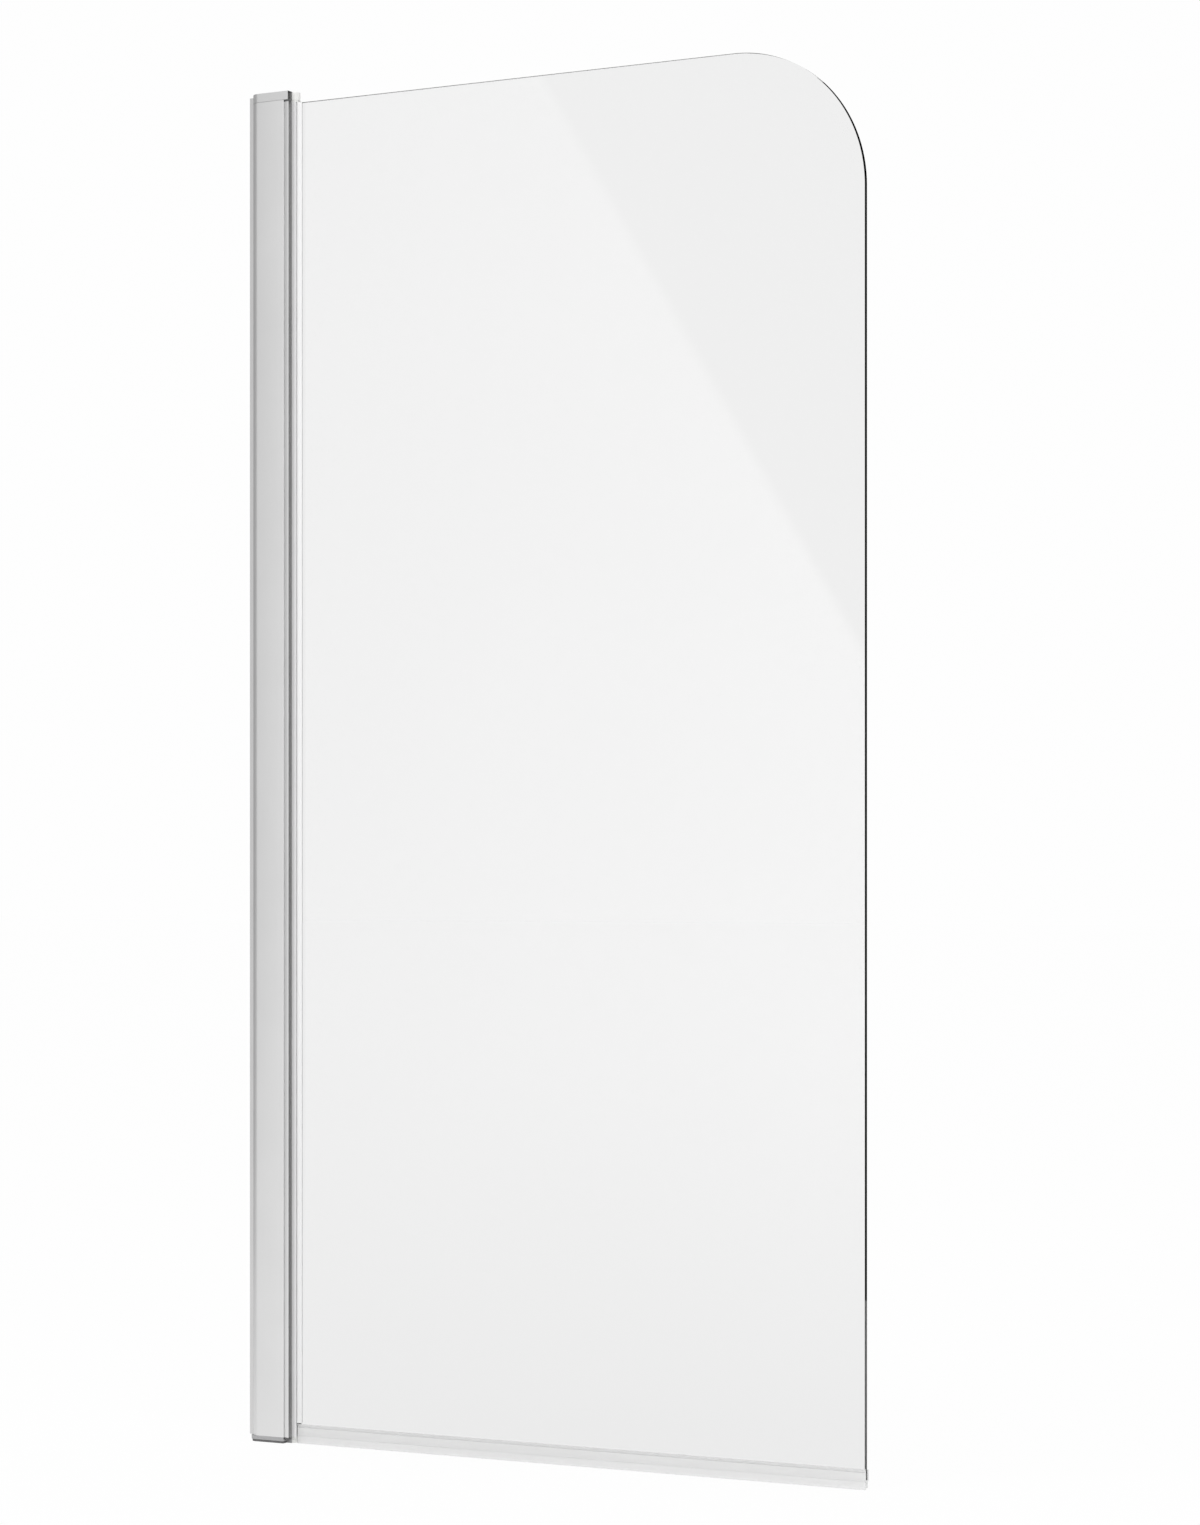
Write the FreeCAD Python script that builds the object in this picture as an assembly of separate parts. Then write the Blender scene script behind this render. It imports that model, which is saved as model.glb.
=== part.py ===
"""Pivoting bath screen: a wall channel, a hinge post that slides over it and a frameless glass panel.

Row frame: X runs out from the wall along the glass, Y across it, Z up. X = 0 is the wall and
Z = 0 is half way up the screen. All sizes are in millimetres.
"""

import FreeCAD, Part
import math
import os

# Overall sizes
screen_width = 700.0       # wall to free end, with the post pushed fully in
screen_height = 1400.0     # rim of the bath to the top of the cap
glass_thickness = 5.0
corner_radius = 140.0      # upper free corner of the glass
glass_arris = 0.3          # polished bevel round the glass

# Clearances
turn_gap = 0.3             # between pieces that move past each other
fit_gap = 0.05             # between a piece and the pocket it is pushed into
bore_gap = 0.05            # round a turning stud, on the radius

# Wall channel
channel_half = 8.0         # half its depth across the glass
channel_reach = 29.0
channel_web = 2.0
channel_flange = 1.5
channel_top_drop = 2.5     # its top end below the top of the cap
wall_hole_radius = 3.0
wall_hole_outer = 1120.0   # spacing of the outer pair of wall holes
wall_hole_inner = 380.0    # spacing of the inner pair

# Sliding adjustment and its clamp screws
travel = 12.0
clamp_x = 13.5
clamp_spacing = 420.0      # middle screw to each of the others
clamp_radius = 2.0
clamp_head_radius = 3.4
clamp_head_height = 1.8
clamp_head_taper = 0.5
clamp_key = 2.6            # square drive in the head
clamp_key_depth = 1.0
clamp_slot_gap = 0.3
clamp_bore_gap = 0.1
clamp_tail = 0.5           # end of the screw past its nut plate
nut_plate_length = 16.0
nut_plate_width = 8.0
nut_plate_thickness = 2.5
nut_plate_bevel = 1.5

# Post casing and its cover
post_wall_gap = 3.6        # casing to wall at the shortest width
post_round = 10.0          # rounded wall side of the post
guide_wall = 1.6
head_room = 2.8            # space for the clamp screw heads under the cover
cover_wall = 1.3
shell_wall = 1.6
cross_gap = 2.5            # channel to the cross web of the casing
cross_web = 1.7
seat_wall = 2.4
seat_ledge = 2.4           # solid rim that backs the seat and carries the cover
ledge_tip = 0.5            # thin end of that rim
tip_bevel = 0.5            # outer edge of the post beside the turning rail
end_gap = 0.4              # post to the bottom seal when the glass stands square to the wall
snap_inset = 4.0           # first cover leg from the start of the flat
snap_leg = 1.0
snap_depth = 2.4
snap_bead = 0.35
snap_slack = 0.4
snap_hook = 2.0            # hooks on the casing that the cover's legs catch behind
hook_bead_height = 1.6     # their beads above the guide
leg_bead_height = 0.75     # the legs' beads above the guide

# Turning rail
rail_recess = 0.5          # front of the rail behind the front of the post
seat_gap = 0.4             # casing seat round the rail
back_gap = 3.3             # cross web to the rail
rail_face_reach = 0.7      # flat face of the rail beyond the pivot axis
jaw_reach = 6.0            # glass jaws beyond the pivot axis
jaw_wall = 2.9
jaw_round = 1.4
slot_depth = 11.4
rail_wall = 1.8
rail_tie = 1.6             # web between the two chambers of the rail
rail_edge_bevel = 0.5

# Glazing gasket
gasket_wall = 1.1
gasket_base = 1.0
gasket_lip = 3.5
gasket_lip_height = 2.1
gasket_lip_tip = 0.3
gasket_lip_root = 0.7      # thick part of the lip, where it leaves the jaws
gasket_lip_bend = 2.1      # where it starts to thin out
gasket_bend_height = 0.95
gasket_barb = 0.6
barb_near = 2.4            # barb groove from the mouth of the jaws
barb_far = 4.2

# Screws that hold the caps and the plugs
cap_screw_radius = 1.4
cap_screw_length = 20.0
cap_head_radius = 3.4
cap_head_height = 2.0
cap_boss_radius = 2.7
cap_boss_sink = 0.3        # boss into the cross web
plug_screw_radius = 1.3
plug_screw_length = 14.0
plug_head_radius = 2.4
plug_head_height = 2.0
plug_boss_radius = 2.4
plug_boss_sink = 0.1       # boss into the spine of the rail
plug_boss_rim = 0.4        # metal outside the boss

# Caps, plugs and pivots
top_cap_height = 9.0
top_cap_skin = 2.0
top_cap_bevel = 0.5
cap_wall = 1.8
foot_height = 6.4          # foot to the lower end of the post
foot_wall_gap = 2.4
foot_round = 8.0
arm_height = 4.1           # lower arm that carries the pivot
pad_height = 2.4
pad_inset = 1.0
plug_plate = 2.0
plug_inset = 0.2
peg_depth = 8.0
peg_height = 4.0
peg_gap = 0.3
carrier_gap = 0.3          # carrier to the heads of the plug screws
stud_radius = 3.5
top_stud_drop = 2.0        # end of the upper stud below the top of the cap
bottom_stud_lift = 0.6
bearing_inset = 0.2
bearing_socket_radius = 5.0
bearing_nose_radius = 6.1

# Glass and bottom seal
glass_lift = 9.0           # lower edge of the glass above the foot
seal_overrun = 1.0
seal_leg = 1.4
seal_web = 1.2
seal_grip = 7.4            # stiff part of the legs above the glass edge
seal_lip = 4.1             # soft upper part of the legs
seal_flare = 0.5           # inner edge of the lips away from the glass
seal_flare_out = 0.2       # outer edge of the lips past the legs
fin_wall = 1.0
fin_lean = 0.4
fin_bead_radius = 0.9
back_fin_lift = 1.2
back_fin_start = 1.0       # behind the middle of the glass
back_fin_tip = 0.6

# Wiper strips in the casing seat
wiper_width = 3.0
wiper_depth = 0.9
wiper_tip = 0.9            # narrow side that faces the rail
wiper_angle = 40.0

# Levels
foot = -screen_height / 2
top = screen_height / 2
post_bottom = foot + foot_height
post_top = top - top_cap_height
rail_top = post_top - plug_plate
glass_bottom = foot + glass_lift
channel_bottom = post_bottom + turn_gap
channel_top = top - channel_top_drop

# Plan sizes that follow from the ones above
guide_in = channel_half + turn_gap
guide_out = guide_in + guide_wall
post_half = guide_out + head_room + cover_wall
cover_in = post_half - cover_wall
clamp_levels = (-clamp_spacing, 0.0, clamp_spacing)
cross_x = channel_reach + cross_gap
drum_radius = post_half - rail_recess
seat_radius = drum_radius + seat_gap
axis_x = cross_x + cross_web + back_gap + drum_radius
post_end = axis_x - glass_thickness / 2 - seal_leg - fin_lean - end_gap
ledge_end = axis_x - math.sqrt(seat_radius ** 2 - (cover_in - ledge_tip) ** 2)
rail_face_x = axis_x + rail_face_reach
mouth_x = axis_x + jaw_reach
slot_half = glass_thickness / 2 + gasket_wall
slot_x = mouth_x - slot_depth
jaw_half = slot_half + jaw_wall
glass_x = slot_x + gasket_base
glass_end = screen_width - seal_overrun
cap_boss_x = cross_x + cross_web + cap_boss_radius - cap_boss_sink
cap_boss_y = cover_in - cap_boss_radius
plug_boss_y = slot_half + rail_wall + plug_boss_radius - plug_boss_sink
plug_boss_reach = drum_radius - plug_boss_radius - plug_boss_rim
plug_boss_x = axis_x - math.sqrt(plug_boss_reach ** 2 - plug_boss_y ** 2)
carrier_x = plug_boss_x + plug_head_radius + carrier_gap
peg_x = plug_boss_x + plug_boss_radius + peg_gap
bearing_top = foot + arm_height


def v(x, y, z=0.0):
    return FreeCAD.Vector(x, y, z)


def rect(x0, y0, x1, y1):
    corners = [v(x0, y0), v(x1, y0), v(x1, y1), v(x0, y1), v(x0, y0)]
    return Part.Face(Part.makePolygon(corners))


def poly(points):
    return Part.Face(Part.makePolygon([v(*p) for p in points] + [v(*points[0])]))


def disc(x, y, radius):
    return Part.Face(Part.Wire(Part.makeCircle(radius, v(x, y))))


def bead(x, y):
    """Ridge of a snap joint in plan."""
    return poly([(x - snap_bead, y), (x, y - snap_bead), (x + snap_bead, y), (x, y + snap_bead)])


def joined(faces):
    return faces[0].fuse(faces[1:])


def cut(face, tools):
    return face.cut(tools)


def prism(face, z0, z1):
    """Extrudes a plan face between two levels."""
    solids = face.extrude(v(0, 0, z1 - z0)).Solids
    solid = solids[0].fuse(solids[1:]).removeSplitter() if len(solids) > 1 else solids[0]
    solid.translate(v(0, 0, z0))
    return solid


def along_x(face, x0, x1):
    """Extrudes a section drawn as (Y, Z) between two distances from the wall."""
    solid = prism(face, 0, x1 - x0)
    solid.rotate(v(0, 0, 0), v(1, 1, 1), 120)
    solid.translate(v(x0, 0, 0))
    return solid


def cylinder(x, y, z0, z1, radius):
    return Part.makeCylinder(radius, z1 - z0, v(x, y, z0))


def screw(x, y, z, radius, length, head_radius, head_height, up):
    """Countersunk screw whose head lies flush at level z; up is the way its head faces."""
    head = Part.makeCone(head_radius, radius, head_height, v(x, y, z), v(0, 0, -up))
    shank = Part.makeCylinder(radius, length, v(x, y, z), v(0, 0, -up))
    return head.fuse(shank).removeSplitter()


def screw_hole(x, y, z, radius, length, head_radius, head_height, up):
    """Countersunk hole that takes such a screw."""
    gap = fit_gap * 2
    sink = Part.makeCone(head_radius + gap, radius + gap, head_height, v(x, y, z), v(0, 0, -up))
    shank = Part.makeCylinder(radius + gap, length, v(x, y, z), v(0, 0, -up))
    return sink.fuse(shank)


def shell(x0, x1, half, radius, inset=0.0):
    """Post outline in plan: rounded on the wall side and square at x1."""
    wide = half - inset
    flat = half - radius
    centre = x0 + radius
    bend = (radius - inset) * math.sqrt(0.5)
    low = Part.Arc(v(centre, -wide), v(centre - bend, -flat - bend), v(x0 + inset, -flat))
    high = Part.Arc(v(x0 + inset, flat), v(centre - bend, flat + bend), v(centre, wide))
    edges = [
        Part.makeLine(v(x1, -wide), v(centre, -wide)),
        low.toShape(),
        Part.makeLine(v(x0 + inset, -flat), v(x0 + inset, flat)),
        high.toShape(),
        Part.makeLine(v(centre, wide), v(x1, wide)),
        Part.makeLine(v(x1, wide), v(x1, -wide)),
    ]
    return Part.Face(Part.Wire(edges))


def both_sides(face):
    """The face and its mirror image across the glass."""
    return [face, face.mirror(v(0, 0), v(0, 1))]


def wiper_place(shape, side):
    """Turns a shape drawn on the wall side of the rail round to a wiper's place in the seat."""
    shape.rotate(v(axis_x, 0), v(0, 0, 1), side * wiper_angle)
    return shape


def wall_channel():
    web = rect(0, -channel_half, channel_web, channel_half)
    flange = rect(0, channel_half - channel_flange, channel_reach, channel_half)
    body = prism(joined([web] + both_sides(flange)), channel_bottom, channel_top)
    cuts = []
    for spacing in (wall_hole_outer, wall_hole_inner):
        for z in (-spacing / 2, spacing / 2):
            cuts.append(Part.makeCylinder(wall_hole_radius, channel_web * 2, v(-1, 0, z), v(1, 0, 0)))
    slot_radius = clamp_radius + clamp_slot_gap
    for z in clamp_levels:
        for x in (clamp_x, clamp_x + travel):
            place = v(x, -channel_half - 1, z)
            cuts.append(Part.makeCylinder(slot_radius, channel_flange + 2, place, v(0, 1, 0)))
        place = v(clamp_x, -channel_half - 1, z - slot_radius)
        cuts.append(Part.makeBox(travel, channel_flange + 2, slot_radius * 2, place))
    return body.cut(cuts).removeSplitter()


def snap_legs():
    """X positions of the cover's two legs, and the way each one's bead faces."""
    return [(post_wall_gap + post_round + snap_inset, 1), (cross_x - snap_leg, -1)]


def tip_corner():
    """Triangle that bevels the outer edge of the post beside the turning rail."""
    return poly([(post_end, post_half - tip_bevel), (post_end, post_half), (post_end - tip_bevel, post_half)])


def casing():
    outline = shell(post_wall_gap, post_end, post_half, post_round)
    hollow = shell(post_wall_gap, post_end, post_half, post_round, shell_wall)
    behind = rect(0, guide_in, post_end + 1, post_half + 1)
    back = outline.cut(hollow).common(behind)
    guide = rect(0, guide_in, cross_x + cross_web, guide_out)
    cross = rect(cross_x, -guide_out, cross_x + cross_web, post_half - shell_wall / 2)
    boss = disc(cap_boss_x, cap_boss_y, cap_boss_radius)
    ring = disc(axis_x, 0, seat_radius + seat_wall).cut(disc(axis_x, 0, seat_radius))
    sector = ring.common(rect(0, cap_boss_y - cap_boss_radius, axis_x, post_half + 1))
    ledge = rect(cap_boss_x, cover_in - seat_ledge, axis_x, cover_in)
    corner = rect(cross_x + cross_web / 2, cap_boss_y, cap_boss_x, cover_in + shell_wall / 4)
    faces = [back, cross, corner] + both_sides(guide) + both_sides(boss) + both_sides(sector)
    faces += both_sides(ledge)
    flat_x = post_wall_gap + post_round
    for part in (1, 2):
        x = flat_x + (cross_x - flat_x) * part / 3 - shell_wall / 2
        faces.append(rect(x, guide_in, x + shell_wall, post_half - shell_wall / 2))
    for x, side in snap_legs():
        face_x = x + snap_leg / 2 + side * (snap_leg / 2 + snap_slack)
        x0, x1 = sorted((face_x, face_x + side * snap_leg))
        faces.append(rect(x0, -guide_out - snap_hook, x1, -guide_in))
        faces.append(bead(face_x, -guide_out - hook_bead_height))
    front = rect(0, -cover_in, post_end + 1, post_half + 1)
    plan = joined(faces).common(outline).common(front)
    thin_edge = rect(ledge_end, -cover_in - 1, post_end + 1, -cover_in + seat_ledge)
    tools = [disc(axis_x, 0, seat_radius), tip_corner(), thin_edge]
    tools += both_sides(disc(cap_boss_x, cap_boss_y, cap_screw_radius + fit_gap))
    groove = rect(axis_x - seat_radius - wiper_depth, -wiper_width / 2, axis_x, wiper_width / 2)
    tools += [wiper_place(groove.copy(), side) for side in (-1, 1)]
    body = prism(cut(plan, tools), post_bottom, post_top)
    holes = []
    for z in clamp_levels:
        place = v(clamp_x, -guide_out - 0.5, z)
        holes.append(Part.makeCylinder(clamp_radius + clamp_bore_gap, guide_wall + 1, place, v(0, 1, 0)))
    return body.cut(holes)


def cover_strip():
    outline = shell(post_wall_gap, post_end, post_half, post_round)
    hollow = shell(post_wall_gap, post_end, post_half, post_round, cover_wall)
    front = rect(0, -post_half - 1, post_end + 1, -guide_out)
    faces = [outline.cut(hollow).common(front)]
    for x, side in snap_legs():
        low = -cover_in - cover_wall / 2
        faces.append(rect(x, low, x + snap_leg, low + snap_depth + cover_wall / 2))
        faces.append(bead(x + snap_leg / 2 + side * snap_leg / 2, -guide_out - leg_bead_height))
    tools = [disc(axis_x, 0, seat_radius)] + both_sides(tip_corner())
    return prism(cut(joined(faces), tools), post_bottom, post_top)


def clamp_screws():
    screws = []
    for z in clamp_levels:
        head_y = -guide_out - clamp_head_height
        face_radius = clamp_head_radius - clamp_head_taper
        place = v(clamp_x, head_y, z)
        head = Part.makeCone(face_radius, clamp_head_radius, clamp_head_height, place, v(0, 1, 0))
        tail = channel_half - channel_flange - turn_gap - nut_plate_thickness - clamp_tail
        shank = Part.makeCylinder(
            clamp_radius - fit_gap / 2, guide_out - tail, v(clamp_x, -guide_out, z), v(0, 1, 0)
        )
        corner = v(clamp_x - clamp_key / 2, head_y, z - clamp_key / 2)
        key = Part.makeBox(clamp_key, clamp_key_depth, clamp_key, corner)
        screws.append(head.fuse(shank).cut(key))
    return Part.makeCompound(screws)


def nut_plates():
    plates = []
    face_y = -(channel_half - channel_flange - turn_gap)
    for z in clamp_levels:
        corner = v(clamp_x - nut_plate_width / 2, face_y, z - nut_plate_length / 2)
        plate = Part.makeBox(nut_plate_width, nut_plate_thickness, nut_plate_length, corner)
        upright = [e for e in plate.Edges if abs(e.tangentAt(e.FirstParameter).y) > 0.9]
        plate = plate.makeChamfer(nut_plate_bevel, upright)
        hole = Part.makeCylinder(clamp_radius, nut_plate_thickness, v(clamp_x, face_y, z), v(0, 1, 0))
        plates.append(plate.cut(hole))
    return Part.makeCompound(plates)


def wiper_strips():
    strips = []
    for side in (-1, 1):
        half = wiper_width / 2 - fit_gap
        base_x = axis_x - seat_radius - wiper_depth
        points = [
            (base_x, -half),
            (base_x + wiper_depth, -half),
            (base_x + wiper_depth + seat_gap - turn_gap, -wiper_tip / 2),
            (base_x + wiper_depth + seat_gap - turn_gap, wiper_tip / 2),
            (base_x + wiper_depth, half),
            (base_x, half),
        ]
        section = wiper_place(poly(points), side)
        strips.append(prism(section, post_bottom, post_top))
    return Part.makeCompound(strips)


def rail_drum(radius, end_x):
    return disc(axis_x, 0, radius).common(rect(0, -radius - 1, end_x, radius + 1))


def jaw_outline(inset=0.0):
    """Plan of the glass jaws, with their two outer corners rounded."""
    radius = jaw_round - inset
    half = jaw_half - inset
    end = mouth_x - inset
    core = rect(slot_x - rail_wall, -half, end - radius, half)
    tip = rect(slot_x, -half + radius, end, half - radius)
    return joined([core, tip] + both_sides(disc(end - radius, half - radius, radius)))


def pivot_rail():
    drum = rail_drum(drum_radius, rail_face_x)
    outer = joined([drum, jaw_outline()])
    room = rail_drum(drum_radius - rail_wall, rail_face_x - rail_wall)
    spine = rect(slot_x - rail_wall, -slot_half - rail_wall, rail_face_x, slot_half + rail_wall)
    tie = rect(axis_x - drum_radius, -rail_tie / 2, slot_x, rail_tie / 2)
    bosses = both_sides(disc(plug_boss_x, plug_boss_y, plug_boss_radius))
    chambers = room.cut([spine, tie] + bosses)
    slot = rect(slot_x, -slot_half, mouth_x + 1, slot_half)
    groove = rect(mouth_x - barb_far, 0, mouth_x - barb_near, slot_half + gasket_barb + fit_gap)
    tools = [chambers, slot] + both_sides(groove)
    tools += both_sides(disc(plug_boss_x, plug_boss_y, plug_screw_radius + fit_gap))
    body = prism(cut(outer, tools), post_bottom, rail_top)
    edges = []
    for edge in body.Edges:
        middle = edge.CenterOfMass
        if edge.BoundBox.ZLength > 100 and abs(middle.x - rail_face_x) < 0.01:
            if abs(middle.y) > jaw_half + 1 and abs(middle.y) > drum_radius - 1:
                edges.append(edge)
    return body.makeChamfer(rail_edge_bevel, edges)


def glazing_gasket():
    base = rect(slot_x, -slot_half, glass_x, slot_half)
    leg = rect(slot_x, glass_thickness / 2, mouth_x, slot_half)
    inner = glass_thickness / 2
    barb = rect(mouth_x - barb_far + fit_gap, inner, mouth_x - barb_near - fit_gap, slot_half + gasket_barb)
    held = prism(joined([base] + both_sides(leg) + both_sides(barb)), glass_bottom, rail_top)
    lip = poly([
        (mouth_x, inner),
        (mouth_x + gasket_lip, inner),
        (mouth_x + gasket_lip, inner + gasket_lip_tip),
        (mouth_x + gasket_lip_bend, inner + gasket_bend_height),
        (mouth_x + gasket_lip_root, inner + gasket_lip_height),
        (mouth_x, inner + gasket_lip_height),
    ])
    seal_top = glass_bottom + seal_grip + seal_lip
    lips = [prism(face, seal_top + turn_gap, rail_top) for face in both_sides(lip)]
    return held.fuse(lips).removeSplitter()


def glass_panel():
    z0 = glass_bottom
    z1 = rail_top
    bend = corner_radius * (1 - math.sqrt(0.5))
    corner = Part.Arc(
        v(glass_end, 0, z1 - corner_radius),
        v(glass_end - bend, 0, z1 - bend),
        v(glass_end - corner_radius, 0, z1),
    )
    edges = [
        Part.makeLine(v(glass_x, 0, z0), v(glass_end, 0, z0)),
        Part.makeLine(v(glass_end, 0, z0), v(glass_end, 0, z1 - corner_radius)),
        corner.toShape(),
        Part.makeLine(v(glass_end - corner_radius, 0, z1), v(glass_x, 0, z1)),
        Part.makeLine(v(glass_x, 0, z1), v(glass_x, 0, z0)),
    ]
    sheet = Part.Face(Part.Wire(edges)).extrude(v(0, glass_thickness, 0))
    sheet.translate(v(0, -glass_thickness / 2, 0))
    rims = [e for e in sheet.Edges if e.BoundBox.YLength < 0.01]
    rims = [e for e in rims if e.BoundBox.XMax > glass_x + 1]
    return sheet.makeChamfer(glass_arris, rims)


def bottom_seal():
    """Clear two-part extrusion that grips the glass and sheds water into the bath."""
    inner = glass_thickness / 2
    outer = inner + seal_leg
    low = glass_bottom - seal_web
    grip = glass_bottom + seal_grip
    lip = grip + seal_lip
    trough = [
        (-outer, low), (outer, low), (outer, grip), (outer + seal_flare_out, lip),
        (inner + seal_flare, lip), (inner, grip), (inner, glass_bottom),
        (-inner, glass_bottom), (-inner, grip), (-inner - seal_flare, lip),
        (-outer - seal_flare_out, lip), (-outer, grip),
    ]
    tip = foot + fin_bead_radius
    front_fin = [
        (-outer, low + seal_web / 2), (-outer + fin_wall, low + seal_web / 2),
        (-outer - fin_lean + fin_wall, tip), (-outer - fin_lean, tip),
    ]
    back_tip = foot + back_fin_lift
    back_fin = [
        (back_fin_start, low + seal_web / 2), (back_fin_start + fin_wall, low + seal_web / 2),
        (back_fin_start + back_fin_tip, back_tip), (back_fin_start, back_tip),
    ]
    bead = disc(-outer - fin_lean + fin_bead_radius, tip, fin_bead_radius)
    section = joined([poly(trough), poly(front_fin), poly(back_fin), bead])
    start = axis_x + bearing_nose_radius + turn_gap
    return along_x(section, start, screen_width)


def cap_screw_places():
    return [(cap_boss_x, -cap_boss_y), (cap_boss_x, cap_boss_y)]


def top_cap():
    outline = shell(post_wall_gap, rail_face_x, post_half, post_round)
    body = prism(outline, post_top, top)
    rims = [e for e in body.Edges if abs(e.BoundBox.ZMin - top) < 0.01]
    body = body.makeChamfer(top_cap_bevel, rims)
    room = shell(post_wall_gap, cross_x - turn_gap, post_half, post_round, cap_wall)
    doorway = rect(0, -guide_in, cross_x - turn_gap, guide_in)
    hollow = prism(joined([room, doorway]), post_top - 1, top - top_cap_skin)
    swing = cylinder(axis_x, 0, post_top - 1, post_top + turn_gap, seat_radius)
    socket = cylinder(axis_x, 0, post_top - 1, top + 1, bearing_socket_radius + fit_gap)
    cuts = [hollow, swing, socket]
    for x, y in cap_screw_places():
        sizes = (cap_screw_radius, cap_screw_length, cap_head_radius, cap_head_height)
        cuts.append(screw_hole(x, y, top, *sizes, 1))
    return body.cut(cuts)


def bottom_cap():
    outline = shell(foot_wall_gap, post_end, post_half, foot_round)
    plate = prism(outline, foot + pad_height, post_bottom)
    tongue_half = bearing_nose_radius
    tongue = rect(cap_boss_x, -tongue_half, rail_face_x, tongue_half)
    tongue = prism(tongue, foot, bearing_top)
    swing = cylinder(axis_x, 0, bearing_top, post_bottom + 1, seat_radius)
    socket = cylinder(axis_x, 0, foot - 1, post_bottom, bearing_socket_radius + fit_gap)
    cuts = [swing, socket]
    low = foot + pad_height
    for x, y in cap_screw_places():
        sizes = (cap_screw_radius, cap_screw_length, cap_head_radius, cap_head_height)
        cuts.append(screw_hole(x, y, low, *sizes, -1))
    return plate.fuse(tongue).cut(cuts).removeSplitter()


def foot_pad():
    side = foot_round - pad_inset
    outline = shell(foot_wall_gap + pad_inset, post_end - pad_inset, post_half - pad_inset, side)
    notch = rect(cap_boss_x - fit_gap, -bearing_nose_radius - fit_gap, post_end, bearing_nose_radius + fit_gap)
    return prism(outline.cut(notch), foot, foot + pad_height)


def cap_screws():
    screws = []
    for x, y in cap_screw_places():
        sizes = (cap_screw_radius, cap_screw_length, cap_head_radius, cap_head_height)
        screws.append(screw(x, y, top, *sizes, 1))
        screws.append(screw(x, y, foot + pad_height, *sizes, -1))
    return Part.makeCompound(screws)


def bearing(z0, z1):
    """Acetal block with a round nose; its socket end is pushed into the arm of a cap."""
    nose = disc(axis_x, 0, bearing_nose_radius)
    reach = bearing_nose_radius + 1
    nose = nose.common(rect(rail_face_x, -reach, axis_x + reach, reach))
    plan = joined([disc(axis_x, 0, bearing_socket_radius), nose])
    return prism(cut(plan, [disc(axis_x, 0, stud_radius + bore_gap)]), z0, z1)


def plug_screw_places():
    return [(plug_boss_x, -plug_boss_y), (plug_boss_x, plug_boss_y)]


def carrier_plan():
    """Plan of the acetal carrier on the end of the jaws."""
    half = jaw_half - plug_inset
    return jaw_outline(plug_inset).common(rect(carrier_x, -half, mouth_x, half))


def rail_plug(z_face, up):
    """Dark plate that closes one end of the rail's hollow half, with two pegs into its chambers."""
    plan = rail_drum(drum_radius - plug_inset, rail_face_x - plug_inset)
    half = jaw_half - plug_inset + fit_gap
    notch = rect(carrier_x - fit_gap, -half, mouth_x, half)
    z0, z1 = sorted((z_face, z_face + up * plug_plate))
    body = prism(plan, z0, z1)
    opening = prism(notch, z0, z1)
    low = slot_half + rail_wall + peg_gap
    peg = rect(peg_x, low, rail_face_x - rail_wall - peg_gap, low + peg_height)
    p0, p1 = sorted((z_face + up * plug_plate / 2, z_face - up * peg_depth))
    body = body.fuse([prism(face, p0, p1) for face in both_sides(peg)]).removeSplitter()
    outside = z_face + up * plug_plate
    cuts = [opening]
    for x, y in plug_screw_places():
        sizes = (plug_screw_radius, plug_screw_length, plug_head_radius, plug_head_height)
        cuts.append(screw_hole(x, y, outside, *sizes, up))
    return body.cut(cuts)


def carrier(z_face, up, stud_end, tongue_end):
    """Acetal pivot carrier: a plate on the jaws, a stud outwards and a tongue into the slot."""
    z0, z1 = sorted((z_face, z_face + up * plug_plate))
    parts = [prism(carrier_plan(), z0, z1)]
    z0, z1 = sorted((z_face, stud_end))
    parts.append(cylinder(axis_x, 0, z0, z1, stud_radius))
    if abs(tongue_end - z_face) > 0.01:
        tongue = rect(slot_x + fit_gap, -slot_half + fit_gap, mouth_x - plug_inset, slot_half - fit_gap)
        z0, z1 = sorted((z_face, tongue_end))
        parts.append(prism(tongue, z0, z1))
    return parts[0].fuse(parts[1:]).removeSplitter()


def plug_screws():
    screws = []
    for x, y in plug_screw_places():
        sizes = (plug_screw_radius, plug_screw_length, plug_head_radius, plug_head_height)
        screws.append(screw(x, y, post_top, *sizes, 1))
        screws.append(screw(x, y, post_bottom - plug_plate, *sizes, -1))
    return Part.makeCompound(screws)


pieces = {
    "wall_channel": wall_channel(),
    "casing": casing(),
    "cover_strip": cover_strip(),
    "clamp_screws": clamp_screws(),
    "nut_plates": nut_plates(),
    "wiper_strips": wiper_strips(),
    "top_cap": top_cap(),
    "bottom_cap": bottom_cap(),
    "foot_pad": foot_pad(),
    "cap_screws": cap_screws(),
    "top_bearing": bearing(post_top + turn_gap, top - bearing_inset),
    "bottom_bearing": bearing(foot + bearing_inset, bearing_top),
    "pivot_rail": pivot_rail(),
    "glazing_gasket": glazing_gasket(),
    "glass_panel": glass_panel(),
    "bottom_seal": bottom_seal(),
    "top_plug": rail_plug(rail_top, 1),
    "bottom_plug": rail_plug(post_bottom, -1),
    "top_carrier": carrier(rail_top, 1, top - top_stud_drop, rail_top),
    "bottom_carrier": carrier(post_bottom, -1, foot + bottom_stud_lift, glass_bottom),
    "plug_screws": plug_screws(),
}

os.makedirs("parts", exist_ok=True)
for name, shape in pieces.items():
    shape.exportStep("parts/" + name + ".step")
    print(name, len(shape.Solids), round(shape.Volume, 1), shape.isValid())
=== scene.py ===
import math

import bmesh
import bpy
from mathutils import Matrix, Vector


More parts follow.
